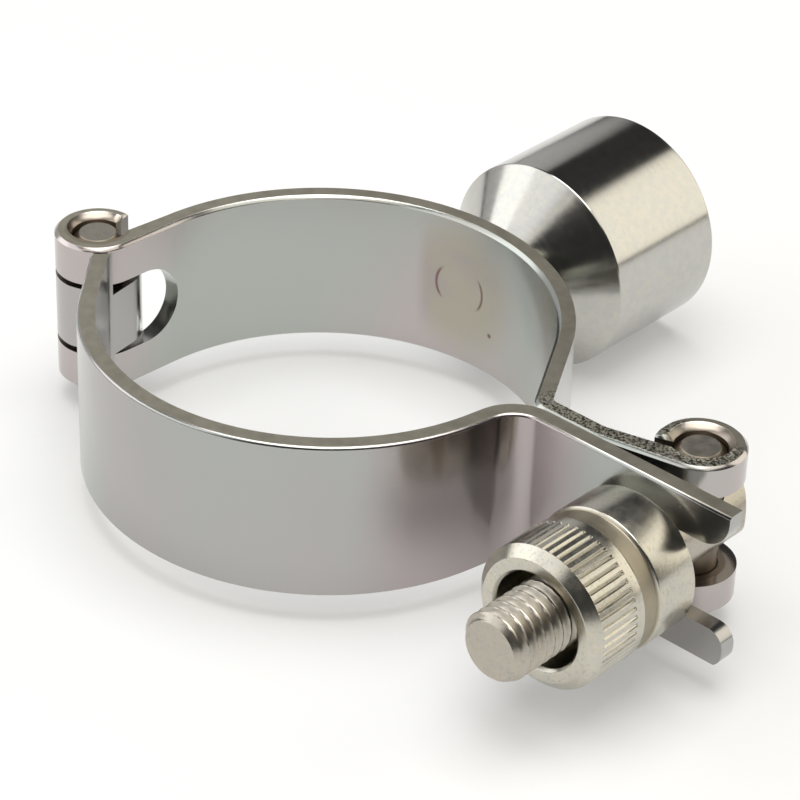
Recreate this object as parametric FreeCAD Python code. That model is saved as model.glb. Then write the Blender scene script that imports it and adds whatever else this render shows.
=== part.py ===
import FreeCAD, Part
import math
import os

# Hinged pipe clamp for a 51 mm tube.
# Two halves of folded steel strip are hinged at the left by curled knuckles on a pin.
# At the right an eye bolt swings on a second pin and drops into the open slots of the two ears,
# where a knurled nut holds the halves together. A threaded boss is welded to the rear half.
# Millimetres. The origin is the centre of the clamped tube, half way up the strip.
# +Z is the tube's axis, +X points along the ears and +Y towards the boss.

V = FreeCAD.Vector

# Strip
tube_radius = 25.5
strip_thickness = 2.0
band_width = 19.0
rear_edge_chamfer = 0.4
front_edge_chamfer = 0.3

# Knuckles and their pins
pin_radius = 2.85
pin_clearance = 0.1
pin_recess = 0.5
pin_end_chamfer = 0.75
knuckle_mouth = 0.6
left_pin_angle = 190.35
left_pin_offset = 4.88
tongue_width = 8.0
tongue_gap = 0.7
rear_knuckle_end = 92.0
tongue_knuckle_end = 282.0
right_knuckle_end = 208.0

# Ears
ear_front = -0.3
ear_slot_gap = 1.0
ear_overhang = 11.3
ear_upper_tip_cut = 0.6
ear_upper_tip_round = 3.5
ear_lower_tip_round = 2.0
front_bend_inside = 3.5
front_bend_run = 2.0
shoulder_distance = 5.9
shoulder_angle = -41.0
shoulder_bend_inside = 2.0
shoulder_centre_x = 7.4
shoulder_centre_y = -2.7

# Leg of the rear half, from the tight bend to the right knuckle
rear_bend_inside = 0.8
rear_bend_run = 11.1
leg_contact_length = 6.0
leg_bend_inside = 5.0
leg_wedge = 2.0
right_pin_offset = 19.17
hinge_notch_reach = 7.4
fork_gap = 1.6

# Swing bolt
bolt_diameter = 8.0
bolt_length = 32.8
bolt_end_chamfer = 0.75
bolt_end_radius = 5.4
bolt_end_gap = 0.4

# Knurled nut, with distances measured forward from its seat on the ear
nut_bore_clearance = 0.05
nut_seat_radius = 6.75
nut_barrel_radius = 8.2
nut_seat_chamfer = 1.4
nut_barrel_end = 6.9
nut_groove_at = 7.1
nut_groove_radius = 7.9
nut_collar_start = 9.4
nut_collar_width = 1.15
nut_knurl_end = 15.9
nut_knurl_radius = 8.15
nut_length = 16.72
nut_face_radius = 6.6
nut_recess_radius = 5.3
nut_recess_chamfer = 0.4
nut_recess_depth = 8.4
nut_bore_chamfer = 0.6
knurl_ribs = 52
knurl_depth = 0.35

# Threaded boss
boss_radius = 12.8
boss_nose_radius = 3.25
boss_cone_edge = 36.6
boss_length = 17.7
boss_edge_chamfer = 0.5
boss_thread_radius = 9.315
boss_thread_depth = 14.0
boss_mouth_chamfer = 1.2
drill_point_angle = 118.0

# Places that follow from the sizes above
half_width = band_width / 2
half_strip = strip_thickness / 2
ring_radius = tube_radius + half_strip
curl_radius = pin_radius + pin_clearance + half_strip
knuckle_radius = curl_radius + half_strip
left_pin_x = (ring_radius + left_pin_offset) * math.cos(math.radians(left_pin_angle))
left_pin_y = (ring_radius + left_pin_offset) * math.sin(math.radians(left_pin_angle))
ear_back = ear_front + strip_thickness
right_pin_x = ring_radius + right_pin_offset
right_pin_y = ear_back + leg_wedge + knuckle_radius
ear_tip_x = right_pin_x + ear_overhang
leg_y = ear_back + half_strip
ear_slot_width = bolt_diameter + 2 * ear_slot_gap
ear_prong_height = half_width - ear_slot_width / 2
fork_width = bolt_diameter + 2 * fork_gap


def left_of(heading):
    """Unit vector a quarter turn to the left of a heading."""
    return V(-math.sin(heading), math.cos(heading), 0)


def run_heading(first, second):
    """Heading of the straight run that leaves one round and meets the next.

    A round is (x, y, radius) of the centreline: a positive radius turns left, a negative one
    right, and a radius of zero is a plain end.
    """
    dx = second[0] - first[0]
    dy = second[1] - first[1]
    return math.atan2(dy, dx) - math.asin((second[2] - first[2]) / math.hypot(dx, dy))


def swing(radius, arrive, leave):
    """Turn made on a round, left positive."""
    if radius > 0:
        return (leave - arrive) % (2 * math.pi)
    if radius < 0:
        return -((arrive - leave) % (2 * math.pi))
    return 0.0


def strip_side(rounds, start, finish, offset):
    """Edges of one face of the strip, offset to the left of its centreline."""
    runs = [run_heading(a, b) for a, b in zip(rounds, rounds[1:])]
    edges = []
    last = None
    for (x, y, radius), arrive, leave in zip(rounds, [start] + runs, runs + [finish]):
        turn = swing(radius, arrive, leave)
        points = [V(x, y, 0) + left_of(arrive + turn * part) * (offset - radius) for part in (0, 0.5, 1)]
        if last is not None:
            edges.append(Part.makeLine(last, points[0]))
        if turn:
            edges.append(Part.Arc(*points).toShape())
        last = points[2]
    return edges


def same_place(first, second):
    """Whether two points share their X and Y."""
    return math.hypot(first.x - second.x, first.y - second.y) < 0.0001


def folded_strip(rounds, start, finish, edge_chamfer):
    """Strip of full width folded round a chain of rounds, as one solid.

    The two long edges of its left face are chamfered, as the shear rounds them over.
    """
    left = strip_side(rounds, start, finish, half_strip)
    right = strip_side(rounds, start, finish, -half_strip)
    caps = [
        Part.makeLine(left[0].firstVertex(True).Point, right[0].firstVertex(True).Point),
        Part.makeLine(left[-1].lastVertex(True).Point, right[-1].lastVertex(True).Point),
    ]
    outline = Part.Wire(Part.__sortEdges__(left + right + caps))
    strip = Part.Face(outline).extrude(V(0, 0, band_width))
    strip.translate(V(0, 0, -half_width))
    sheared = [edge for edge in strip.Edges
               if abs(abs(edge.CenterOfMass.z) - half_width) < 0.0001
               and any(same_place(edge.CenterOfMass, side.CenterOfMass) for side in left)]
    return strip.makeChamfer(edge_chamfer, sheared)


def bend_centre_x(bend_radius, run, centre_y):
    """X of a bend's centre that leaves a straight run between the bend and the ring."""
    return math.sqrt((ring_radius + bend_radius) ** 2 + run ** 2 - centre_y ** 2)


def slot_cutter(end_x, width, length, centre_y, depth):
    """Open slot with a full-radius inner end at end_x, running towards +X."""
    radius = width / 2
    round_end = Part.makeCylinder(radius, depth, V(end_x + radius, centre_y - depth / 2, 0), V(0, 1, 0))
    mouth = Part.makeBox(length, depth, width, V(end_x + radius, centre_y - depth / 2, -radius))
    return round_end.fuse(mouth)


def corner_cutter(x, z, radius, towards):
    """What is cut from a square ear corner at x, z to round it; towards is +1 for material above z."""
    depth = 4 * strip_thickness
    back = ear_front - strip_thickness
    low = z if towards > 0 else z - radius
    square = Part.makeBox(radius, depth, radius, V(x - radius, back, low))
    curve = Part.makeCylinder(radius, depth, V(x - radius, back, z + towards * radius), V(0, 1, 0))
    return square.cut(curve)


def knuckle_mouths(x, y):
    """Two cones that open the ends of a knuckle's hole."""
    inside = pin_radius + pin_clearance
    upper = Part.makeCone(inside, inside + knuckle_mouth, knuckle_mouth, V(x, y, half_width - knuckle_mouth))
    lower = Part.makeCone(inside + knuckle_mouth, inside, knuckle_mouth, V(x, y, -half_width))
    return upper.fuse(lower)


def revolve_along_y(profile, x, y, direction):
    """Turned piece: (distance, radius) pairs along the Y axis through (x, y), closed on the profile."""
    points = [V(x + radius, y + direction * distance, 0) for distance, radius in profile]
    face = Part.Face(Part.makePolygon(points + points[:1]))
    return face.revolve(V(x, y, 0), V(0, 1, 0), 360)


def make_rear_half():
    bend_radius = rear_bend_inside + half_strip
    bend_y = leg_y + bend_radius
    bend_x = bend_centre_x(bend_radius, rear_bend_run, bend_y)
    leg_radius = leg_bend_inside + half_strip
    rounds = [
        (right_pin_x, right_pin_y, -curl_radius),
        (bend_x + leg_contact_length, leg_y + leg_radius, -leg_radius),
        (bend_x, bend_y, -bend_radius),
        (0, 0, ring_radius),
        (left_pin_x, left_pin_y, -curl_radius),
    ]
    start = math.radians(right_knuckle_end - 90)
    finish = math.radians(rear_knuckle_end - 90)
    strip = folded_strip(rounds, start, finish, rear_edge_chamfer)
    notch_half = tongue_width / 2 + tongue_gap
    notch_end = left_pin_y + hinge_notch_reach
    reach = 3 * knuckle_radius
    notch = Part.makeCylinder(notch_half, reach, V(left_pin_x, notch_end - notch_half, 0), V(1, 0, 0))
    notch = notch.fuse(Part.makeBox(reach, reach, 2 * notch_half,
                                    V(left_pin_x, notch_end - notch_half - reach, -notch_half)))
    knuckle_gap = Part.makeBox(reach, reach, 2 * notch_half,
                               V(left_pin_x - reach / 2, left_pin_y - reach / 2, -notch_half))
    trim = Part.makeBox(reach, reach, 2 * notch_half,
                        V(left_pin_x + knuckle_radius - strip_thickness, left_pin_y - reach / 2, -notch_half))
    strip = strip.cut(notch)
    strip = strip.cut(knuckle_gap.cut(trim))
    fork = slot_cutter(right_pin_x - fork_width / 2, fork_width, reach, right_pin_y, 4 * knuckle_radius)
    turning_room = Part.makeCylinder(bolt_end_radius + bolt_end_gap, fork_width,
                                     V(right_pin_x, right_pin_y, -fork_width / 2))
    strip = strip.cut(fork).cut(turning_room)
    strip = strip.cut(knuckle_mouths(left_pin_x, left_pin_y))
    return strip.cut(knuckle_mouths(right_pin_x, right_pin_y))


def make_front_half():
    bend_radius = front_bend_inside + half_strip
    bend_y = ear_front + half_strip - bend_radius
    bend_x = bend_centre_x(bend_radius, front_bend_run, bend_y)
    shoulder_radius = shoulder_bend_inside + half_strip
    shoulder = (left_pin_x + shoulder_centre_x, left_pin_y + shoulder_centre_y, -shoulder_radius)
    rounds = [
        (ear_tip_x, ear_front + half_strip, 0),
        (bend_x, bend_y, bend_radius),
        (0, 0, -ring_radius),
        shoulder,
        (left_pin_x, left_pin_y, curl_radius),
    ]
    start = math.pi
    finish = math.radians(tongue_knuckle_end + 90)
    strip = folded_strip(rounds, start, finish, front_edge_chamfer)
    strip = strip.cut(slot_cutter(right_pin_x - ear_slot_width / 2, ear_slot_width,
                                  2 * ear_overhang, ear_front, 4 * strip_thickness))
    upper_tip = ear_tip_x - ear_upper_tip_cut
    upper_round = min(ear_upper_tip_round, 0.8 * ear_prong_height)
    lower_round = min(ear_lower_tip_round, 0.45 * ear_prong_height)
    strip = strip.cut(Part.makeBox(strip_thickness, 4 * strip_thickness, band_width,
                                   V(upper_tip, ear_front - strip_thickness, 0)))
    strip = strip.cut(corner_cutter(upper_tip, ear_slot_width / 2, upper_round, 1))
    strip = strip.cut(corner_cutter(ear_tip_x, -ear_slot_width / 2, lower_round, -1))
    strip = strip.cut(corner_cutter(ear_tip_x, -half_width, lower_round, 1))
    clear = Part.makeBox(4 * knuckle_radius, 4 * knuckle_radius, band_width,
                         V(shoulder_distance - 4 * knuckle_radius, -2 * knuckle_radius, 0))
    clear.rotate(V(0, 0, 0), V(0, 0, 1), shoulder_angle)
    clear.translate(V(left_pin_x, left_pin_y, 0))
    above = clear.translated(V(0, 0, tongue_width / 2))
    below = clear.translated(V(0, 0, -tongue_width / 2 - band_width))
    return strip.cut(above).cut(below)


def make_pin(x, y):
    length = band_width - 2 * pin_recess
    pin = Part.makeCylinder(pin_radius, length, V(x, y, -length / 2))
    rims = [edge for edge in pin.Edges if edge.isClosed() and abs(abs(edge.CenterOfMass.z) - length / 2) < 0.0001]
    return pin.makeChamfer(pin_end_chamfer, rims)


def make_bolt():
    radius = bolt_diameter / 2
    end_y = right_pin_y - bolt_length
    profile = [
        (-bolt_end_radius, 0),
        (-bolt_end_radius, radius),
        (bolt_length - bolt_end_chamfer, radius),
        (bolt_length, radius - bolt_end_chamfer),
        (bolt_length, 0),
    ]
    rod = revolve_along_y(profile, right_pin_x, right_pin_y, -1)
    upright = Part.makeCylinder(bolt_end_radius, bolt_diameter, V(right_pin_x, right_pin_y, -radius))
    front = Part.makeBox(bolt_diameter, bolt_length, bolt_diameter, V(right_pin_x - radius, end_y, -radius))
    hole = Part.makeCylinder(pin_radius + pin_clearance, bolt_diameter, V(right_pin_x, right_pin_y, -radius))
    return rod.common(upright.fuse(front)).cut(hole)


def make_nut():
    bore = bolt_diameter / 2 + nut_bore_clearance
    profile = [
        (0, bore + nut_bore_chamfer),
        (0, nut_seat_radius),
        (nut_seat_chamfer, nut_barrel_radius),
        (nut_barrel_end, nut_barrel_radius),
        (nut_groove_at, nut_groove_radius),
        (nut_collar_start - nut_knurl_radius + nut_groove_radius, nut_groove_radius),
        (nut_collar_start, nut_knurl_radius),
        (nut_knurl_end, nut_knurl_radius),
        (nut_length, nut_face_radius),
        (nut_length, nut_recess_radius + nut_recess_chamfer),
        (nut_length - nut_recess_chamfer, nut_recess_radius),
        (nut_length - nut_recess_depth, nut_recess_radius),
        (nut_length - nut_recess_depth, bore),
        (nut_bore_chamfer, bore),
    ]
    body = revolve_along_y(profile, right_pin_x, ear_front, -1)
    pitch = 2 * math.pi * nut_knurl_radius / knurl_ribs
    floor = nut_knurl_radius - knurl_depth
    rim = nut_knurl_radius + knurl_depth
    half_mouth = pitch * 0.36 * (rim - floor) / knurl_depth
    front = ear_front - nut_length
    groove = Part.Face(Part.makePolygon([
        V(right_pin_x + floor, front, 0),
        V(right_pin_x + rim, front, half_mouth),
        V(right_pin_x + rim, front, -half_mouth),
        V(right_pin_x + floor, front, 0),
    ])).extrude(V(0, nut_length - nut_collar_start - nut_collar_width, 0))
    axis = V(right_pin_x, 0, 0)
    grooves = []
    for index in range(knurl_ribs):
        copy = groove.copy()
        copy.rotate(axis, V(0, 1, 0), index * 360 / knurl_ribs)
        grooves.append(copy)
    return body.cut(Part.makeCompound(grooves))


def make_boss():
    end = boss_cone_edge + boss_length
    drill_point = boss_thread_radius / math.tan(math.radians(drill_point_angle / 2))
    floor = end - boss_thread_depth
    nose = tube_radius
    slope = (boss_radius - boss_nose_radius) / (boss_cone_edge - tube_radius - strip_thickness)
    profile = [
        (nose, 0),
        (nose, boss_nose_radius - slope * strip_thickness),
        (boss_cone_edge, boss_radius),
        (end - boss_edge_chamfer, boss_radius),
        (end, boss_radius - boss_edge_chamfer),
        (end, boss_thread_radius + boss_mouth_chamfer),
        (end - boss_mouth_chamfer, boss_thread_radius),
        (floor, boss_thread_radius),
        (floor - drill_point, 0),
    ]
    body = revolve_along_y(profile, 0, 0, 1)
    ring = Part.makeCylinder(tube_radius + strip_thickness, 2 * band_width, V(0, 0, -band_width))
    return body.cut(ring)


parts = {
    "rear_half_band": make_rear_half(),
    "front_half_band": make_front_half(),
    "band_hinge_pin": make_pin(left_pin_x, left_pin_y),
    "bolt_hinge_pin": make_pin(right_pin_x, right_pin_y),
    "swing_bolt": make_bolt(),
    "knurled_nut": make_nut(),
    "threaded_boss": make_boss(),
}

os.makedirs("parts", exist_ok=True)
for name, shape in parts.items():
    solid = shape.Solids[0]
    box = solid.BoundBox
    print(name, "solids", len(shape.Solids), "valid", shape.isValid(), "volume", round(shape.Volume, 1),
          "x", round(box.XMin, 2), round(box.XMax, 2), "y", round(box.YMin, 2), round(box.YMax, 2),
          "z", round(box.ZMin, 2), round(box.ZMax, 2))
    solid.exportStep("parts/" + name + ".step")
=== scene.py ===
import math
import bmesh
import bpy
import numpy as np
from mathutils import Matrix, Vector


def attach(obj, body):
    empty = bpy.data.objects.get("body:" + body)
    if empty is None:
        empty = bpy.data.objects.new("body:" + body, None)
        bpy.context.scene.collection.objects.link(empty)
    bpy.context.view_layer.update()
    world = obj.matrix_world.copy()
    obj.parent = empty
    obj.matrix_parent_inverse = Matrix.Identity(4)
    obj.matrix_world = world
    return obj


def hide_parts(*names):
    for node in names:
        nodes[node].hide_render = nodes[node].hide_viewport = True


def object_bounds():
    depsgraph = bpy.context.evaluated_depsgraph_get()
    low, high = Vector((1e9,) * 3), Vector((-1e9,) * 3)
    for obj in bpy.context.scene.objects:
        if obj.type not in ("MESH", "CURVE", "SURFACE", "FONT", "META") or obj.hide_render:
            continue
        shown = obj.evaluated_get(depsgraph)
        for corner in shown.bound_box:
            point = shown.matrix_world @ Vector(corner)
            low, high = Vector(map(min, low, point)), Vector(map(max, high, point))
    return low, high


# A hinged pipe clamp of polished steel strip, with a swing bolt, a knurled nut and a welded boss.
# Metres. +Z is the tube's axis, +X points along the ear and +Y towards the boss.

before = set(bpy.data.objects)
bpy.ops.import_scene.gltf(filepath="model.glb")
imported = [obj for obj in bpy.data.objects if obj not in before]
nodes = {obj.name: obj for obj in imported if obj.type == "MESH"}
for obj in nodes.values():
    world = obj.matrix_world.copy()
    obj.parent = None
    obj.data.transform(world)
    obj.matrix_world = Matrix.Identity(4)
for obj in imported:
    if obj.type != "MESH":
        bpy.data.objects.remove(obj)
cad_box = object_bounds()
mm = 0.001

# Sizes and places on the clamp, in millimetres

# Half the strip's width, from its middle to either cut edge
half_width = 9.5
# Axes of the bolt's pin and of the pin that joins the halves
bolt_x, bolt_pin_y = 45.67, 8.65
left_pin_x, left_pin_y = -30.869, -5.638
# Rim of the chamfered hole in a knuckle, and the radius where a pin's own chamfer starts
mouth_radius = 3.55
pin_rim = 2.15
# Face of the ear that the nut stands on, and the nut's neck behind it
nut_seat_y = -0.3
nut_neck = (nut_seat_y - 9.35, nut_seat_y - 7.0)
# Middle of the weld's mark inside the rear half, and the dot beside it
weld_x, weld_z = -2.4, 0.5
weld_dot_x, weld_dot_z = 2.35, -4.0

# Spans over which a mask rises or falls, in millimetres

# Mouths of the knuckles, from a pin's axis
mouth_edge = (mouth_radius + 0.05, mouth_radius + 0.35)
# Cut edges of the strip, from its middle
cut_edge = (half_width - 0.04, half_width - 0.01)
# Painted reflection: a rosy tint along X on the front half, beside the ear's bend, standing in for a dark
# purplish reflection there
painted_reflection_start, painted_reflection_end = (20.0, 25.0), (33.0, 40.0)
# Sheared grain of the rear half's leg: it starts along X and ends along Y
leg_start, leg_end = (27.0, 29.5), (9.0, 12.0)
# Weld mark: inner face of the strip along Y, a ring round the middle, its height, its dot and its stain
inner_face = (24.0, 24.6)
ring_start, ring_end = (3.0, 3.25), (3.3, 3.55)
crescent_height = (1.3, 2.4)
dot_edge = (0.15, 0.42)
stain_edge = (4.5, 10.5)

# Colours

rear_tints = (0.485, 0.44, 0.43), (0.43, 0.455, 0.425)
front_tints = (0.425, 0.41, 0.40), (0.405, 0.42, 0.40)
cut_tints = (0.39, 0.36, 0.29), (0.46, 0.43, 0.35)
sheared_tints = (0.06, 0.055, 0.045), (0.54, 0.51, 0.42)
heat_tints = (0.37, 0.33, 0.33), (0.40, 0.375, 0.30)
# Painted reflection: rosy tint for the front half beside the ear's bend
painted_reflection_colour = (0.43, 0.345, 0.355)
mouth_bronze = (0.25, 0.205, 0.15)
weld_brown = (0.16, 0.09, 0.07)
# Painted shade: dark bronze on a pin's chamfer, in the groove between the pin and its hole
painted_chamfer_shade = (0.17, 0.14, 0.105)
neck_brown = (0.35, 0.31, 0.235)
white_light = (1.0, 1.0, 1.0)
warm_light = (1.0, 0.95, 0.86)
warmer_light = (1.0, 0.95, 0.84)


# Meshes

def put_in_scene(name, data):
    """New object in the scene that holds the given mesh, light or camera."""
    thing = bpy.data.objects.new(name, data)
    bpy.context.scene.collection.objects.link(thing)
    return thing


def mesh_piece(name, points, quads):
    """Smooth mesh object from points in millimetres and an array of quads."""
    mesh = bpy.data.meshes.new(name)
    mesh.from_pydata((points * mm).tolist(), [], quads.tolist())
    mesh.validate()
    mesh.shade_smooth()
    return put_in_scene(name, mesh)


def grid_quads(rows, columns, closed_rows=False):
    """Quads of a grid whose columns close on themselves; closed_rows joins its last row to its first."""
    i = np.arange(rows if closed_rows else rows - 1)[:, None]
    j = np.arange(columns)[None, :]
    a = i * columns + j
    b = i * columns + (j + 1) % columns
    c = (i + 1) % rows * columns + (j + 1) % columns
    d = (i + 1) % rows * columns + j
    return np.stack([a, b, c, d], -1).reshape(-1, 4)


def rounded(profile, radius):
    """Open profile with its corners eased: each becomes the parabola between two points on its sides.

    The points lie the radius away from the corner, or 0.45 of the side where that is less, and
    point(t) = (1 - t)^2 before + 2 t (1 - t) corner + t^2 after. The profile's two ends stay.
    """
    points_a_bend, largest_share = 5, 0.45
    corner = np.array(profile, float)

    def on_side_to(neighbour):
        side = neighbour - corner
        length = np.linalg.norm(side, axis=1, keepdims=True)
        return (corner + side * np.minimum(radius / length, largest_share))[:, None]

    before, after = on_side_to(np.roll(corner, 1, 0)), on_side_to(np.roll(corner, -1, 0))
    t = np.linspace(0, 1, points_a_bend)[None, :, None]
    bends = (1 - t) ** 2 * before + 2 * t * (1 - t) * corner[:, None] + t ** 2 * after
    bends[0], bends[-1] = corner[0], corner[-1]
    return bends.reshape(-1, 2)


def turned(name, profile, x, start_y, direction, columns, shape, closed=False):
    """Turned piece: (distance, radius) pairs carried round the axis that runs along Y through x.

    A point is (x + r cos a, start_y + direction d, r sin a). shape(d, outline, a) gives its
    radius r from the outline's, with ribs or a thread. closed joins the profile's ends.
    """
    angle = np.linspace(0, 2 * np.pi, columns, endpoint=False)[None, :]
    along = profile[:, :1] + 0 * angle
    out = shape(along, profile[:, 1:] + 0 * angle, angle)
    points = np.stack([x + out * np.cos(angle), start_y + direction * along, out * np.sin(angle)], -1)
    return mesh_piece(name, points.reshape(-1, 3), grid_quads(len(profile), columns, closed))


def face_outwards(piece):
    """Merges doubled points and turns every face outwards."""
    same_point = 0.002 * mm
    mesh = bmesh.new()
    mesh.from_mesh(piece.data)
    bmesh.ops.remove_doubles(mesh, verts=mesh.verts, dist=same_point)
    bmesh.ops.recalc_face_normals(mesh, faces=mesh.faces)
    mesh.to_mesh(piece.data)
    mesh.free()
    return piece


def even_shading(piece):
    """Lets broad faces set the shading at narrow rounded edges, so that cones reflect straight."""
    weighing = piece.modifiers.new("even_shading", "WEIGHTED_NORMAL")
    weighing.mode = "FACE_AREA"
    weighing.keep_sharp = True
    return piece


def merged_copy(name, node, keep_behind=None):
    """Merged copy of a CAD node, smooth where it curves.

    keep_behind is a place along Y, in millimetres: what lies in front of it is cut off.
    """
    same_point, sharp_angle = 0.001 * mm, math.radians(32)
    mesh = bmesh.new()
    mesh.from_mesh(nodes[node].data)
    bmesh.ops.remove_doubles(mesh, verts=mesh.verts, dist=same_point)
    if keep_behind is not None:
        everything = mesh.verts[:] + mesh.edges[:] + mesh.faces[:]
        bmesh.ops.bisect_plane(mesh, geom=everything, plane_co=(0, keep_behind * mm, 0),
                               plane_no=(0, -1, 0), clear_outer=True)
    data = bpy.data.meshes.new(name)
    mesh.to_mesh(data)
    mesh.free()
    if "custom_normal" in data.attributes:
        data.attributes.remove(data.attributes["custom_normal"])
    data.shade_smooth()
    data.set_sharp_from_angle(angle=sharp_angle)
    return put_in_scene(name, data)


def read_array(items, field, width, kind=float):
    """One field of a mesh's points, corners or faces as an array."""
    values = np.empty(len(items) * width, kind)
    items.foreach_get(field, values)
    return values.reshape(-1, width) if width > 1 else values


def flare_mouth(piece, x, y):
    """Moves the top rim of a knuckle's hole back by 0.4 mm, so that the mouth opens wider behind the pin."""
    backwards, slack = (-0.26, 0.30), 0.05
    mesh = piece.data
    point = read_array(mesh.vertices, "co", 3) / mm
    far = np.hypot(point[:, 0] - x, point[:, 1] - y)
    rim = (point[:, 2] > half_width - slack) & (np.abs(far - mouth_radius) < slack)
    point[rim, :2] += backwards
    mesh.vertices.foreach_set("co", (point * mm).reshape(-1))


def lengthen_curl(piece, turn):
    """Carries the end of the middle knuckle's curl further round its pin by a turn in degrees."""
    end_angle, slack, curl_outside = -78.0, 0.6, 5.1
    mesh = piece.data
    point = read_array(mesh.vertices, "co", 3) / mm
    x, y = point[:, 0] - left_pin_x, point[:, 1] - left_pin_y
    angle = np.degrees(np.arctan2(y, x))
    end = (np.abs(angle - end_angle) < slack) & (np.hypot(x, y) < curl_outside)
    c, s = math.cos(math.radians(turn)), math.sin(math.radians(turn))
    point[end, 0] = left_pin_x + c * x[end] - s * y[end]
    point[end, 1] = left_pin_y + s * x[end] + c * y[end]
    mesh.vertices.foreach_set("co", (point * mm).reshape(-1))


def roll_edges(piece, flat_share):
    """Shades the narrow chamfers along the strip's edges as rolled edges.

    A chamfer's corner takes the direction of the broad face beside it, mixed by flat_share with
    the mean direction of the chamfer's faces there: direction = (1 - share) beside + share own.
    """
    least_lean, most_lean, reach = 0.3, 0.95, 0.65
    mesh = piece.data
    height = np.abs(read_array(mesh.vertices, "co", 3)[:, 2]) / mm
    vertex = read_array(mesh.loops, "vertex_index", 1, np.int32)
    start = read_array(mesh.polygons, "loop_start", 1, np.int32)
    count = read_array(mesh.polygons, "loop_total", 1, np.int32)
    own = read_array(mesh.polygons, "normal", 3)
    lean = np.abs(own[:, 2])
    at_edge = np.minimum.reduceat(height[vertex], start) > half_width - reach
    chamfer = (lean > least_lean) & (lean < most_lean) & at_edge
    narrow = np.repeat(chamfer, count)
    direction = read_array(mesh.corner_normals, "vector", 3)

    def mean_direction(corners, vectors):
        total = np.zeros((len(height), 3))
        np.add.at(total, vertex[corners], vectors[corners])
        return total / np.maximum(np.linalg.norm(total, axis=1, keepdims=True), 1e-9)

    beside = mean_direction(~narrow, direction)
    along = mean_direction(narrow, np.repeat(own, count, axis=0))
    rolled = (1 - flat_share) * beside[vertex] + flat_share * along[vertex]
    rolled /= np.linalg.norm(rolled, axis=1, keepdims=True)
    direction = np.where(narrow[:, None], rolled, direction)
    mesh.normals_split_custom_set(direction.tolist())


def joined(name, pieces):
    """One object from several, which are taken away."""
    mesh = bmesh.new()
    for piece in pieces:
        mesh.from_mesh(piece.data)
        bpy.data.objects.remove(piece)
    data = bpy.data.meshes.new(name)
    mesh.to_mesh(data)
    mesh.free()
    return put_in_scene(name, data)


def give_material(piece, material):
    """Makes a material the only one of a piece."""
    piece.data.materials.clear()
    piece.data.materials.append(material)


def finish_piece(piece, material, body, node):
    """Gives a piece its material and body, and lets it stand for its CAD node."""
    give_material(piece, material)
    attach(piece, body)
    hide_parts(node)


# Shader nodes

def feed(tree, slot, value):
    """Links a socket to an input, or sets the input to a number or a colour."""
    if isinstance(value, bpy.types.NodeSocket):
        tree.links.new(value, slot)
    else:
        slot.default_value = value + (1.0,) if isinstance(value, tuple) else value


def new_group(name, inputs, outputs):
    """Empty node group with named number inputs, each with its usual value, and named number outputs."""
    group = bpy.data.node_groups.new(name, "ShaderNodeTree")
    for label, value in inputs:
        slot = group.interface.new_socket(label, in_out="INPUT", socket_type="NodeSocketFloat")
        slot.default_value = value
    for label in outputs:
        group.interface.new_socket(label, in_out="OUTPUT", socket_type="NodeSocketFloat")
    return group, group.nodes.new("NodeGroupInput"), group.nodes.new("NodeGroupOutput")


def math_node(tree, operation, *values):
    """Math node whose inputs are numbers or sockets; returns its output."""
    node = tree.nodes.new("ShaderNodeMath")
    node.operation = operation
    for slot, value in zip(node.inputs, values):
        feed(tree, slot, value)
    return node.outputs[0]


def product(tree, first, *others):
    """Product of numbers and sockets."""
    for other in others:
        first = math_node(tree, "MULTIPLY", first, other)
    return first


def weighted_sum(tree, start, *terms):
    """The start plus each term's value times its weight."""
    for value, weight in terms:
        start = math_node(tree, "ADD", start, product(tree, value, weight))
    return start


def ramp(tree, value, low, high):
    """Smooth step from 0 at low to 1 at high."""
    node = tree.nodes.new("ShaderNodeMapRange")
    node.interpolation_type = "SMOOTHSTEP"
    feed(tree, node.inputs["Value"], value)
    feed(tree, node.inputs["From Min"], low)
    feed(tree, node.inputs["From Max"], high)
    return node.outputs["Result"]


def rise(tree, value, span):
    """Smooth step of a length, from 0 to 1 over a span given in millimetres."""
    return ramp(tree, value, span[0] * mm, span[1] * mm)


def fall(tree, value, span):
    """Smooth step of a length, from 1 to 0 over a span given in millimetres."""
    return math_node(tree, "SUBTRACT", 1.0, rise(tree, value, span))


def object_place(tree):
    """Object coordinates as a vector."""
    return tree.nodes.new("ShaderNodeTexCoord").outputs["Object"]


def object_axes(tree):
    """X, Y and Z of the object coordinates."""
    apart = tree.nodes.new("ShaderNodeSeparateXYZ")
    tree.links.new(object_place(tree), apart.inputs[0])
    return apart.outputs[0], apart.outputs[1], apart.outputs[2]


def distance_from(tree, first, second, centre):
    """Distance in metres, across two coordinates, from a centre given in millimetres."""
    across = math_node(tree, "SUBTRACT", first, centre[0] * mm)
    along = math_node(tree, "SUBTRACT", second, centre[1] * mm)
    squares = math_node(tree, "ADD", product(tree, across, across), product(tree, along, along))
    return math_node(tree, "SQRT", squares)


def pin_distance(tree, x, y):
    """Distance in metres from the nearer of the two pins' axes."""
    return math_node(tree, "MINIMUM", distance_from(tree, x, y, (bolt_x, bolt_pin_y)),
                     distance_from(tree, x, y, (left_pin_x, left_pin_y)))


def noise(tree, vector, scale, detail, roughness, stretch=None):
    """Noise value; scale is a number or a socket, and stretch multiplies each axis first."""
    if stretch is not None:
        mapping = tree.nodes.new("ShaderNodeMapping")
        mapping.inputs["Scale"].default_value = stretch
        tree.links.new(vector, mapping.inputs["Vector"])
        vector = mapping.outputs[0]
    node = tree.nodes.new("ShaderNodeTexNoise")
    feed(tree, node.inputs["Vector"], vector)
    feed(tree, node.inputs["Scale"], scale)
    feed(tree, node.inputs["Detail"], detail)
    feed(tree, node.inputs["Roughness"], roughness)
    return node.outputs["Fac"]


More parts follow.
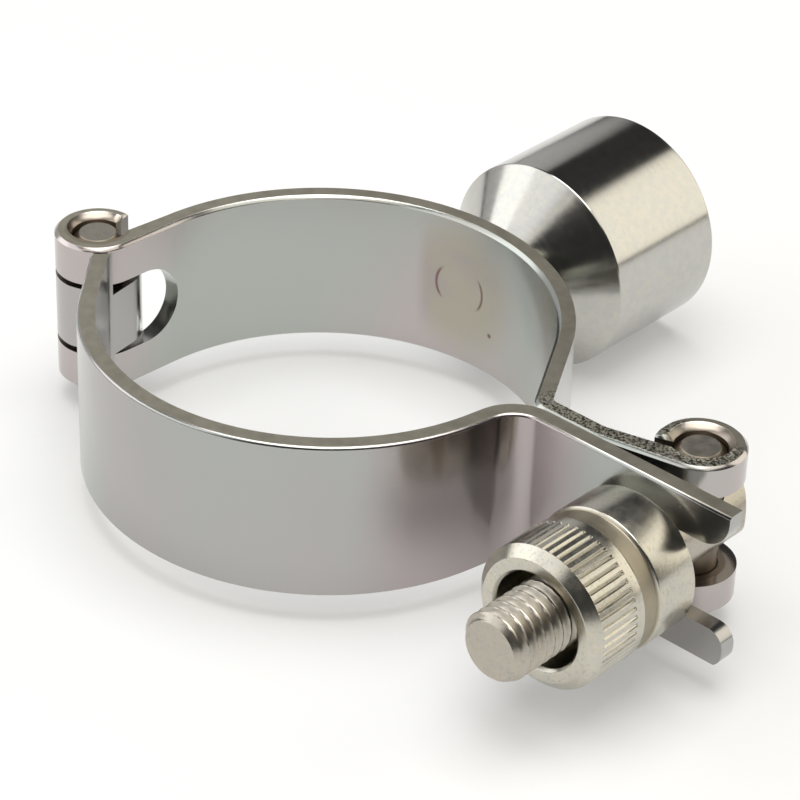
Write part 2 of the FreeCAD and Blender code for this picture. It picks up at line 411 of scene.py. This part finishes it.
def place_group(tree, group, **values):
    """Group node in a material, with its inputs set by name; returns its outputs."""
    node = tree.nodes.new("ShaderNodeGroup")
    node.node_tree = group
    for label, value in values.items():
        feed(tree, node.inputs[label.capitalize()], value)
    return node.outputs


def mix_colour(tree, amount, first, second):
    """Blend of two colours, each a tuple or a socket."""
    node = tree.nodes.new("ShaderNodeMix")
    node.data_type = "RGBA"
    amount_slot, first_slot, second_slot = node.inputs[0], node.inputs[6], node.inputs[7]
    feed(tree, amount_slot, amount)
    feed(tree, first_slot, first)
    feed(tree, second_slot, second)
    return node.outputs[2]


# Node groups

def polish_group():
    """Faint haze, tint and hairline scratches of a polished surface: two masks and a height."""
    inputs, outputs = [("Scale", 60.0), ("Scratches", 0.5)], ["Haze", "Tint", "Height"]
    group, taken, given = new_group("polish_haze", inputs, outputs)
    place = object_place(group)
    haze = noise(group, place, taken.outputs["Scale"], 5.0, 0.6)
    tint = noise(group, place, 45.0, 2.0, 0.4, (1.0, 1.0, 0.6))
    lines = noise(group, place, 400.0, 3.0, 0.6, (1.0, 1.0, 18.0))
    hair = product(group, ramp(group, lines, 0.56, 0.75), taken.outputs["Scratches"])
    feed(group, given.inputs["Haze"], haze)
    feed(group, given.inputs["Tint"], tint)
    feed(group, given.inputs["Height"], math_node(group, "ADD", haze, hair))
    return group


def grain_group():
    """Fine grain of a blasted or sheared surface, and broader patches in it."""
    inputs, outputs = [("Scale", 1500.0), ("Coarse", 300.0)], ["Grain", "Patches"]
    group, taken, given = new_group("fine_grain", inputs, outputs)
    place = object_place(group)
    feed(group, given.inputs["Grain"], noise(group, place, taken.outputs["Scale"], 3.0, 0.7))
    feed(group, given.inputs["Patches"], noise(group, place, taken.outputs["Coarse"], 3.0, 0.5))
    return group


def lathe_group():
    """Turning marks round an axis along Y: fine rings whose height changes with the place along it."""
    group, taken, given = new_group("lathe_marks", [("Scale", 2500.0)], ["Rings"])
    line = group.nodes.new("ShaderNodeTexNoise")
    line.noise_dimensions = "1D"
    feed(group, line.inputs["W"], object_axes(group)[1])
    feed(group, line.inputs["Scale"], taken.outputs["Scale"])
    feed(group, line.inputs["Detail"], 3.0)
    feed(group, given.inputs["Rings"], line.outputs["Fac"])
    return group


# Materials

def new_steel(name, colour, roughness):
    """Metal material, its nodes and its shader, with the plain values set on the shader."""
    material = bpy.data.materials.new(name)
    material.use_nodes = True
    shader = material.node_tree.nodes["Principled BSDF"]
    shader.inputs["Base Color"].default_value = colour + (1.0,)
    shader.inputs["Metallic"].default_value = 1.0
    shader.inputs["Roughness"].default_value = roughness
    return material, material.node_tree, shader


def link_surface(tree, shader, colour, rough, height, strength, depth):
    """Links colour and roughness to the shader, and a height as bump of the given strength and depth."""
    bump = tree.nodes.new("ShaderNodeBump")
    feed(tree, bump.inputs["Strength"], strength)
    feed(tree, bump.inputs["Distance"], depth)
    feed(tree, bump.inputs["Height"], height)
    feed(tree, shader.inputs["Base Color"], colour)
    feed(tree, shader.inputs["Roughness"], rough)
    feed(tree, shader.inputs["Normal"], bump.outputs[0])


def sheared_leg(tree, x, y, cut, grain, colour, height):
    """Adds the coarse dark and light grain on the cut edge of the rear half's leg."""
    leg = product(tree, cut, rise(tree, x, leg_start), fall(tree, y, leg_end))
    speckle = mix_colour(tree, ramp(tree, grain, 0.44, 0.56), *sheared_tints)
    colour = mix_colour(tree, leg, colour, speckle)
    return colour, weighted_sum(tree, height, (product(tree, grain, leg), 0.9))


def weld_mark(tree, x, y, z, haze, colour, height):
    """Adds the mark that the boss's weld leaves on the inner face: two crescents, a dot and a heat stain."""
    inside = rise(tree, y, inner_face)
    far = distance_from(tree, x, z, (weld_x, weld_z))
    off_middle = math_node(tree, "ABSOLUTE", math_node(tree, "SUBTRACT", z, weld_z * mm))
    ring = product(tree, rise(tree, far, ring_start), fall(tree, far, ring_end))
    crescents = product(tree, ring, fall(tree, off_middle, crescent_height))
    dot = fall(tree, distance_from(tree, x, z, (weld_dot_x, weld_dot_z)), dot_edge)
    line = product(tree, math_node(tree, "MAXIMUM", crescents, dot), inside)
    stain = product(tree, fall(tree, far, stain_edge), inside)
    heat = mix_colour(tree, ramp(tree, haze, 0.38, 0.56), *heat_tints)
    colour = mix_colour(tree, product(tree, stain, 0.85), colour, heat)
    colour = mix_colour(tree, product(tree, line, 0.85), colour, weld_brown)
    return colour, weighted_sum(tree, height, (line, -0.3))


def polished_strip(name, welded):
    """Polished strip with duller cut edges and bronze knuckle mouths.

    The rear half is the welded one: its leg has a coarse sheared edge, and it has the weld's
    mark. The front half has a painted reflection: a rosy tint beside the ear's bend.
    """
    material, tree, shader = new_steel(name, (0.46, 0.455, 0.43), 0.16)
    polish = place_group(tree, polish_marks, scale=70.0, scratches=0.35)
    grain = place_group(tree, grain_marks, scale=3300.0, coarse=700.0)
    x, y, z = object_axes(tree)
    cut = rise(tree, math_node(tree, "ABSOLUTE", z), cut_edge)
    mouth = fall(tree, pin_distance(tree, x, y), mouth_edge)
    tints = rear_tints if welded else front_tints
    bright = mix_colour(tree, ramp(tree, polish["Tint"], 0.36, 0.64), *tints)
    # Painted reflection: a rosy tint on the front half beside the ear's bend, in place of a dark purplish
    # reflection
    if not welded:
        painted_reflection = product(tree, rise(tree, x, painted_reflection_start), fall(tree, x, painted_reflection_end), 0.6)
        bright = mix_colour(tree, painted_reflection, bright, painted_reflection_colour)
    smooth_cut = mix_colour(tree, ramp(tree, grain["Patches"], 0.30, 0.70), *cut_tints)
    colour = mix_colour(tree, cut, bright, smooth_cut)
    colour = mix_colour(tree, product(tree, mouth, 0.7), colour, mouth_bronze)
    rough = weighted_sum(tree, 0.13, (polish["Haze"], 0.12), (cut, 0.20), (mouth, 0.1))
    height = weighted_sum(tree, 0.0, (polish["Height"], 0.02), (product(tree, grain["Grain"], cut), 0.12))
    if welded:
        colour, height = sheared_leg(tree, x, y, cut, grain["Grain"], colour, height)
        colour, height = weld_mark(tree, x, y, z, polish["Haze"], colour, height)
    link_surface(tree, shader, colour, rough, height, 0.5, 0.05 * mm)
    return material


def turned_steel(name, base, roughness, ring_height, grain_height, specks=0.45, neck=None, rim=None):
    """Turned and lightly blasted steel, with turning marks, fine grain and dark specks.

    roughness is a pair: the least value, and what the grain's patches add to it.
    neck is a pair of places along Y, in millimetres, between which the steel is brown and dull.
    rim is the distance from a pin's axis, in millimetres, beyond which its chamfer is painted dark bronze,
    as painted shade in the groove against the hole's wall.
    """
    neck_blur, rim_blur = 0.1, 0.12
    material, tree, shader = new_steel(name, base, 0.3)
    lathe = place_group(tree, lathe_marks, scale=2500.0)
    grain = place_group(tree, grain_marks, scale=2600.0, coarse=900.0)
    x, y = object_axes(tree)[:2]

    def tinted(red, green, blue):
        return base[0] * red, base[1] * green, base[2] * blue

    def around(middle, blur):
        return middle - blur, middle + blur

    cool, warm, dark = tinted(0.95, 0.95, 0.95), tinted(1.02, 1.0, 0.96), tinted(0.55, 0.55, 0.55)
    colour = mix_colour(tree, ramp(tree, grain["Patches"], 0.35, 0.65), cool, warm)
    colour = mix_colour(tree, product(tree, ramp(tree, grain["Grain"], 0.52, 0.70), specks), colour, dark)
    rough = weighted_sum(tree, roughness[0], (grain["Patches"], roughness[1]), (lathe["Rings"], 0.06))
    height = weighted_sum(tree, 0.0, (lathe["Rings"], ring_height), (grain["Grain"], grain_height))
    # Painted shade: the pin's chamfer, recessed against its hole's wall, is darkened to bronze
    if rim is not None:
        shaded_chamfer = rise(tree, pin_distance(tree, x, y), around(rim, rim_blur))
        colour = mix_colour(tree, shaded_chamfer, colour, painted_chamfer_shade)
    if neck is not None:
        start, end = around(neck[0], neck_blur), around(neck[1], neck_blur)
        inside = product(tree, rise(tree, y, start), fall(tree, y, end))
        colour = mix_colour(tree, inside, colour, neck_brown)
        rough = weighted_sum(tree, rough, (inside, 0.15))
    link_surface(tree, shader, colour, rough, height, 0.6, 0.04 * mm)
    return material


polish_marks = polish_group()
grain_marks = grain_group()
lathe_marks = lathe_group()

front_strip = polished_strip("polished_strip", False)
rear_strip = polished_strip("polished_strip_welded", True)
pin_steel = turned_steel("pin_steel", (0.40, 0.37, 0.32), (0.25, 0.2), 0.05, 0.15, rim=pin_rim)
nut_steel = turned_steel("nut_steel", (0.56, 0.54, 0.475), (0.13, 0.16), 0.04, 0.06, neck=nut_neck)
bolt_steel = turned_steel("bolt_steel", (0.46, 0.43, 0.375), (0.18, 0.20), 0.04, 0.08)
boss_steel = turned_steel("boss_steel", (0.52, 0.515, 0.49), (0.10, 0.06), 0.02, 0.03, specks=0.12)


# Pieces

def make_nut():
    """Nut as one turned surface, from its seat to the recess in its front, with a row of V grooves.

    The outside's radius is the lesser of the outline's and 8.2 - (0.22 v + 0.05) g. v rises to 1
    and falls again over 0.44 of each rib's pitch. g rises from 0 to 1 where the knurl starts and
    sinks to 0.15 at its end, where a cone of 45 degrees leads on to the front.
    """
    ribs, columns_a_rib = 52, 12
    groove_depth, groove_half_width, clear = 0.22, 0.22, 0.05
    seat, barrel, neck, knurled, face, recess, bore = 6.75, 8.2, 7.85, 8.15, 5.75, 5.3, 4.05
    knurl_start, knurl_end, length, recess_floor = 10.55, 15.9, 17.05, 8.32
    run_in, run_out, least_outside = 0.08, 0.2, 6.95
    back = rounded([(0.0, 4.65), (0.0, seat), (1.4, barrel), (6.85, barrel), (7.1, neck), (9.15, neck),
                    (9.4, knurled), (10.4, knurled)], 0.1)
    rows = np.concatenate([[10.5, 10.56, 10.62, 12.5, 14.5, 15.5],
                           np.linspace(15.65, 16.0, 8), [16.1, 16.2]])
    side = np.stack([rows, knurled - np.maximum(rows - knurl_end, 0)], 1)
    front = rounded([(16.3, knurled - 0.4), (length, knurled - 1.15), (length, face), (16.7, 5.4),
                     (recess_floor, recess), (recess_floor, bore), (0.6, bore), (0.04, 4.62)], 0.08)

    def knurl(along, out, angle):
        turn = (angle * ribs / (2 * np.pi)) % 1.0
        vee = np.clip(1 - np.abs(turn - 0.5) / groove_half_width, 0, 1)
        reach = np.clip((along - knurl_start) / run_in, 0, 1)
        reach = reach * np.clip((knurl_end + clear - along) / run_out, 0.15, 1)
        grooved = knurled + clear - (groove_depth * vee + clear) * reach
        return np.where(out > least_outside, np.minimum(out, grooved), out)

    profile = np.concatenate([back, side, front])
    nut = turned("nut_body", profile, bolt_x, nut_seat_y, -1, ribs * columns_a_rib, knurl, closed=True)
    face_outwards(nut).data.set_sharp_from_angle(angle=math.radians(24))
    return even_shading(nut)


def thread_turn(along, angle, pitch):
    """How far a thread is through its turn, from 0 to 1: the fraction of distance / pitch + angle / 2 pi."""
    return (along / pitch + angle / (2 * np.pi)) % 1.0


def tip_face(y, radius, crown, columns):
    """Round face of the bolt's tip: rings of points out to the radius.

    A point at the distance r from the bolt's axis is at y - crown (1 - (r / radius)^2).
    """
    rings = 14
    angle = np.linspace(0, 2 * np.pi, columns, endpoint=False)[None, :]
    r = radius * np.linspace(0.0, 1, rings)[:, None] + 0 * angle
    bulge = crown * (1 - (r / radius) ** 2)
    points = np.stack([bolt_x + r * np.cos(angle), y - bulge, r * np.sin(angle)], -1)
    return mesh_piece("cap", points.reshape(-1, 3), grid_quads(rings, columns))


def make_threaded_rod():
    """Swing bolt: an M8 thread with a chamfered tip, joined to the plain rear end.

    With t running from 0 to 1 in each pitch of (distance + pitch * angle / 2 pi), the radius is
    4.0 - 0.68 sin(pi t), held at the crest for a tenth of the pitch. The groove fades in over
    1.5 mm at the start, and a cone trims the thread at the tip.
    """
    crest, depth, pitch, half_crest = 4.0, 0.68, 1.25, 0.05
    start, tip, fade_in, chamfer, crown, columns = 12.0, 32.8, 1.5, 0.75, 0.06, 96
    rows = np.linspace(start, tip, 320)

    def thread(along, out, angle):
        turn = (thread_turn(along, angle, pitch) - half_crest) / (1 - 2 * half_crest)
        groove = np.sin(np.pi * np.clip(turn, 0, 1))
        fade = np.clip((along - start) / fade_in, 0, 1)
        return np.minimum(out - depth * groove * fade, crest - chamfer + tip - along)

    profile = np.stack([rows, np.full(len(rows), crest)], 1)
    rod = turned("thread", profile, bolt_x, bolt_pin_y, -1, columns, thread)
    cap = tip_face(bolt_pin_y - tip, crest - chamfer, crown, columns)
    rear = merged_copy("rear_end", "swing_bolt", bolt_pin_y - start)
    whole = face_outwards(joined("swing_rod", [rod, cap, rear]))
    whole.data.set_sharp_from_angle(angle=math.radians(38))
    return whole


def make_boss():
    """Boss as one turned surface along +Y, with its edges eased and a pipe thread in its mouth.

    With t running from 0 to 1 in each pitch of (distance + pitch * angle / 2 pi), the thread's
    radius is 9.32 + 1.16 w, where w is 1.3 - 3.4 |t - 0.5|, kept between 0 and 1. It fades out
    towards the drilled floor.
    """
    bore, depth, pitch, thread_floor, fade_out = 9.32, 1.16, 1.814, 41.5, 1.5
    outside = rounded([(26.7, 0.0), (26.7, 3.9), (27.5, 3.9), (28.3, 4.09), (36.6, 12.8), (53.8, 12.8),
                       (54.3, 12.3), (54.3, 10.5), (53.1, 9.4)], 0.12)
    rows = np.linspace(53.0, 40.4, 110)
    inside = np.stack([rows, np.full(len(rows), bore)], 1)
    drilled_floor = [(40.3, 9.3), (34.8, 0.0)]

    def thread(along, out, angle):
        wave = np.clip(1.3 - np.abs(thread_turn(along, angle, pitch) - 0.5) * 3.4, 0, 1)
        reach = np.clip((along - thread_floor) / fade_out, 0, 1)
        return np.where(np.abs(out - bore) < 0.01, out + depth * wave * reach, out)

    profile = np.concatenate([outside, inside, drilled_floor])
    return even_shading(face_outwards(turned("boss_body", profile, 0.0, 0.0, 1, 192, thread)))


rear_band = merged_copy("rear_strip", "rear_half_band")
flare_mouth(rear_band, bolt_x, bolt_pin_y)
flare_mouth(rear_band, left_pin_x, left_pin_y)
roll_edges(rear_band, 0.8)
front_band = merged_copy("front_strip", "front_half_band")
lengthen_curl(front_band, 16.0)
roll_edges(front_band, 0.35)
finish_piece(make_nut(), nut_steel, "nut", "knurled_nut")
finish_piece(make_threaded_rod(), bolt_steel, "bolt", "swing_bolt")
finish_piece(make_boss(), boss_steel, "rear_half", "threaded_boss")
finish_piece(rear_band, rear_strip, "rear_half", "rear_half_band")
finish_piece(front_band, front_strip, "front_half", "front_half_band")

node_materials = {
    "rear_half_band": rear_strip,
    "front_half_band": front_strip,
    "band_hinge_pin": pin_steel,
    "bolt_hinge_pin": pin_steel,
    "swing_bolt": bolt_steel,
    "knurled_nut": nut_steel,
    "threaded_boss": boss_steel,
}
for node, material in node_materials.items():
    give_material(nodes[node], material)


# Floor, light and camera

def stand(thing, right, upward, back, place):
    """Puts a light or camera at a place in metres, with its X, Y and Z axes along right, upward and back."""
    matrix = np.eye(4)
    matrix[:3] = np.stack([right, upward, back, place], 1)
    thing.matrix_world = Matrix(matrix.tolist())


def floor_sheet():
    """Pale floor that glows a little, just under the boss, which is the lowest point."""
    reach, low, pale, glow = 3.0, cad_box[0][2], (0.55, 0.55, 0.545, 1.0), 0.5
    corners = np.array([[-reach, -reach, low], [reach, -reach, low],
                        [reach, reach, low], [-reach, reach, low]])
    floor = mesh_piece("floor", corners / mm, np.array([[0, 1, 2, 3]]))
    paint = bpy.data.materials.new("pale_floor")
    paint.use_nodes = True
    shader = paint.node_tree.nodes["Principled BSDF"]
    shader.inputs["Base Color"].default_value = pale
    shader.inputs["Roughness"].default_value = 0.9
    shader.inputs["Emission Color"].default_value = pale
    shader.inputs["Emission Strength"].default_value = glow
    floor.data.materials.append(paint)


def soft_light(name, place, size, power, colour):
    """Rectangular area light at a place in metres, facing the middle of the clamp, with its sides level."""
    lamp = bpy.data.lights.new(name, "AREA")
    lamp.shape = "RECTANGLE"
    lamp.size, lamp.size_y = size
    lamp.energy = power
    lamp.color = colour
    back = np.array(place) / np.linalg.norm(place)
    right = np.cross([0.0, 0.0, 1.0], back)
    right = right / np.linalg.norm(right)
    stand(put_in_scene(name, lamp), right, np.cross(back, right), back, place)


def soft_box(name, azimuth, elevation, glow, colour=white_light):
    """Softbox that fills a range of azimuths and elevations, in degrees, as seen from the clamp.

    glow is the brightness of its face: the power is glow * pi * area.
    """
    distance = 1.2
    azimuth, elevation = np.radians(azimuth), np.radians(elevation)
    across, up = azimuth.mean(), elevation.mean()
    outwards = [math.cos(across) * math.cos(up), math.sin(across) * math.cos(up), math.sin(up)]
    width = 2 * distance * math.tan(np.ptp(azimuth) / 2) * math.cos(up)
    height = 2 * distance * math.tan(np.ptp(elevation) / 2)
    soft_light(name, distance * np.array(outwards), (width, height), glow * math.pi * width * height, colour)


def photo_camera():
    """Camera at the photograph's view, from its three angles and its place along its own axes."""
    elevation, azimuth, roll = np.radians([32.911, 41.488, 2.0])
    right_shift, up_shift, distance = 8.361, -1.993, 360.639
    sensor, focal_pixels, picture_pixels = 36.0, 3224.445, 800
    back = np.array([math.sin(azimuth) * math.cos(elevation), -math.cos(azimuth) * math.cos(elevation),
                     math.sin(elevation)])
    level = np.array([math.cos(azimuth), math.sin(azimuth), 0.0])
    upward = np.cross(back, level)
    rolled_right = math.cos(roll) * level + math.sin(roll) * upward
    rolled_up = math.cos(roll) * upward - math.sin(roll) * level
    data = bpy.data.cameras.new("camera")
    data.sensor_width = sensor
    data.lens = sensor * focal_pixels / picture_pixels
    data.clip_start, data.clip_end = 0.01, 20.0
    camera = put_in_scene("camera", data)
    place = (right_shift * rolled_right + up_shift * rolled_up + distance * back) * mm
    stand(camera, rolled_right, rolled_up, back, place)
    bpy.context.scene.camera = camera


def studio():
    """Dark room with five soft boxes round the clamp and one overhead."""
    world = bpy.data.worlds.new("surround")
    world.use_nodes = True
    surround = world.node_tree.nodes["Background"]
    surround.inputs["Color"].default_value = (1.0, 1.0, 1.0, 1.0)
    surround.inputs["Strength"].default_value = 0.035
    bpy.context.scene.world = world
    bpy.context.scene.view_settings.view_transform = "Standard"
    soft_box("front_left_box", (-172, -94), (8, 54), 1.4)
    soft_box("back_right_box", (36, 82), (2, 46), 1.55, warmer_light)
    soft_box("back_left_box", (131, 225), (2, 45), 0.55)
    soft_box("high_front_box", (-98, -40), (50, 66), 1.2, warm_light)
    soft_box("high_right_box", (-40, 28), (46, 64), 1.5, warm_light)
    overhead_side, overhead_glow = 0.9, 4.2
    soft_light("overhead_box", (0.02, 0.0, 1.0), (overhead_side, overhead_side),
               overhead_glow * math.pi * overhead_side ** 2, white_light)


photo_camera()
floor_sheet()
studio()
